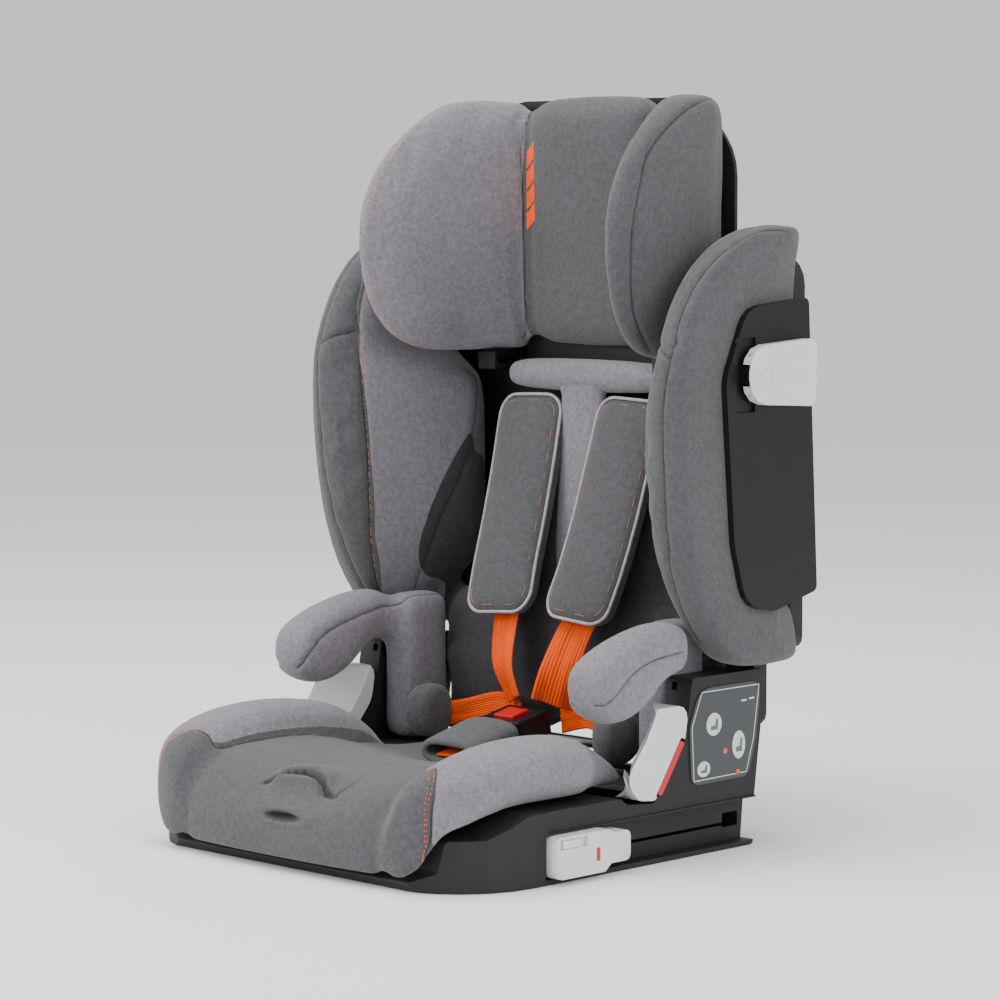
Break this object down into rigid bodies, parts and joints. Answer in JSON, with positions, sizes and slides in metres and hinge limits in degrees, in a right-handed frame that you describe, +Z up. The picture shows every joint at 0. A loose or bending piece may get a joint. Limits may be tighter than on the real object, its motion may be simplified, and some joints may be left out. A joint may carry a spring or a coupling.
{
  "type": "child car seat",
  "caption": "High-back child car seat with padded base, tilting backrest, height-adjustable headrest, harness, fold-out side pods and sliding ISOFIX connectors.",
  "frame": {"origin": "centre of the base's flat underside, in the plane of symmetry", "axes": "+Z up along the backrest, -Y the way the child faces, +X to the right of someone who looks at the seat's front"},
  "size_m": [0.528, 0.4605, 0.697],
  "materials": {
    "charcoal_plastic": "fine-textured matt charcoal",
    "black_plastic": "satin black",
    "pale_plastic": "satin pale grey",
    "red_plastic": "red insert",
    "label": null,
    "steel": "zinc-plated steel",
    "dark_fabric": "dark grey melange knit",
    "light_fabric": "light grey melange knit",
    "orange_webbing": "orange woven webbing"
  },
  "bodies": {
    "base": {"base_shell": "charcoal_plastic", "underside_plate": "black_plastic", "belt_guide_left": "pale_plastic", "belt_guide_right": "pale_plastic", "guide_marker_left": "red_plastic", "guide_marker_right": "red_plastic", "label_plate_left": "label", "label_plate_right": "label", "seat_cushion": "dark_fabric", "thigh_bolster_left": "light_fabric", "thigh_bolster_right": "light_fabric", "armrest_pad_left": "light_fabric", "armrest_pad_right": "light_fabric", "side_panel_pad_left": "light_fabric", "side_panel_pad_right": "light_fabric", "crotch_strap": "orange_webbing", "crotch_pad": "dark_fabric", "harness_buckle": "black_plastic", "harness_tongue_left": "black_plastic", "harness_tongue_right": "black_plastic", "adjuster_body": "black_plastic", "recline_axle": "steel", "lap_strap_left": "orange_webbing", "lap_strap_right": "orange_webbing", "hip_pad_left": "dark_fabric", "hip_pad_right": "dark_fabric"},
    "backrest": {"backrest_frame": "black_plastic", "rear_cover": "charcoal_plastic", "back_cushion": "dark_fabric", "torso_wing_left": "dark_fabric", "torso_wing_right": "dark_fabric", "side_shell_left": "black_plastic", "side_shell_right": "black_plastic", "pod_pin_left": "steel", "pod_pin_right": "steel", "shoulder_strap_left": "orange_webbing", "shoulder_strap_right": "orange_webbing"},
    "headrest": {"headrest_shell": "charcoal_plastic", "headrest_center_pad": "dark_fabric", "headrest_wing_left": "light_fabric", "headrest_wing_right": "dark_fabric", "yoke_pad": "light_fabric", "shoulder_belt_clip_left": "black_plastic", "shoulder_belt_clip_right": "black_plastic", "shoulder_pad_left": "dark_fabric", "shoulder_pad_right": "dark_fabric"},
    "handle": {"headrest_handle": "pale_plastic"},
    "buckle_press": {"buckle_button": "red_plastic"},
    "adjuster_press": {"adjuster_button": "pale_plastic"},
    "pod_left": {"impact_pod_left": "pale_plastic"},
    "isofix_left": {"isofix_connector_left": "pale_plastic", "isofix_indicator_left": "red_plastic"},
    "isofix_latch_left": {"isofix_hook_left": "steel"},
    "isofix_release_left": {"isofix_button_left": "pale_plastic"},
    "pod_right": {"impact_pod_right": "pale_plastic"},
    "isofix_right": {"isofix_connector_right": "pale_plastic", "isofix_indicator_right": "red_plastic"},
    "isofix_latch_right": {"isofix_hook_right": "steel"},
    "isofix_release_right": {"isofix_button_right": "pale_plastic"}
  },
  "joints": [
    {"name": "backrest_tilt", "type": "hinge", "parent": "base", "child": "backrest", "pos_m": [0, 0.165, 0.075], "axis": [-1, 0, 0], "range_deg": [0, 8], "deforming": ["shoulder_strap_left", "shoulder_strap_right"]},
    {"name": "headrest_height", "type": "slide", "parent": "backrest", "child": "headrest", "axis": [0, 0, 1], "range_m": [0, 0.14], "deforming": ["shoulder_strap_left", "shoulder_strap_right"]},
    {"name": "headrest_handle_pull", "type": "slide", "parent": "headrest", "child": "handle", "axis": [0, 0, 1], "range_m": [0, 0.008], "stiffness_N_per_m": 400, "springref_m": -0.002},
    {"name": "buckle_button_press", "type": "slide", "parent": "base", "child": "buckle_press", "axis": [0, 0.2079, -0.9781], "range_m": [0, 0.003], "stiffness_N_per_m": 900, "springref_m": -0.001},
    {"name": "adjuster_button_press", "type": "slide", "parent": "base", "child": "adjuster_press", "axis": [0, 0, -1], "range_m": [0, 0.004], "stiffness_N_per_m": 900, "springref_m": -0.001},
    {"name": "pod_fold_left", "type": "hinge", "parent": "backrest", "child": "pod_left", "pos_m": [-0.2583, 0.1265, 0.439], "axis": [0, 0, 1], "range_deg": [0, 40]},
    {"name": "isofix_slide_left", "type": "slide", "parent": "base", "child": "isofix_left", "axis": [0, 1, 0], "range_m": [0, 0.25]},
    {"name": "isofix_release_left", "type": "slide", "parent": "isofix_left", "child": "isofix_release_left", "axis": [0, 1, 0], "range_m": [0, 0.005], "stiffness_N_per_m": 500, "springref_m": -0.001},
    {"name": "isofix_latch_left", "type": "hinge", "parent": "isofix_left", "child": "isofix_latch_left", "pos_m": [-0.2178, -0.038, 0.0255], "axis": [1, 0, 0], "range_deg": [0, 17]},
    {"name": "pod_fold_right", "type": "hinge", "parent": "backrest", "child": "pod_right", "pos_m": [0.2583, 0.1265, 0.439], "axis": [0, 0, -1], "range_deg": [0, 40]},
    {"name": "isofix_slide_right", "type": "slide", "parent": "base", "child": "isofix_right", "axis": [0, 1, 0], "range_m": [0, 0.25]},
    {"name": "isofix_release_right", "type": "slide", "parent": "isofix_right", "child": "isofix_release_right", "axis": [0, 1, 0], "range_m": [0, 0.005], "stiffness_N_per_m": 500, "springref_m": -0.001},
    {"name": "isofix_latch_right", "type": "hinge", "parent": "isofix_right", "child": "isofix_latch_right", "pos_m": [0.2178, -0.038, 0.0255], "axis": [1, 0, 0], "range_deg": [0, 17]}
  ],
  "couplings": [
    {"joint": "isofix_latch_left", "follows": "isofix_release_left", "rad_per_m": 57.6},
    {"joint": "isofix_latch_right", "follows": "isofix_release_right", "rad_per_m": 57.6}
  ]
}
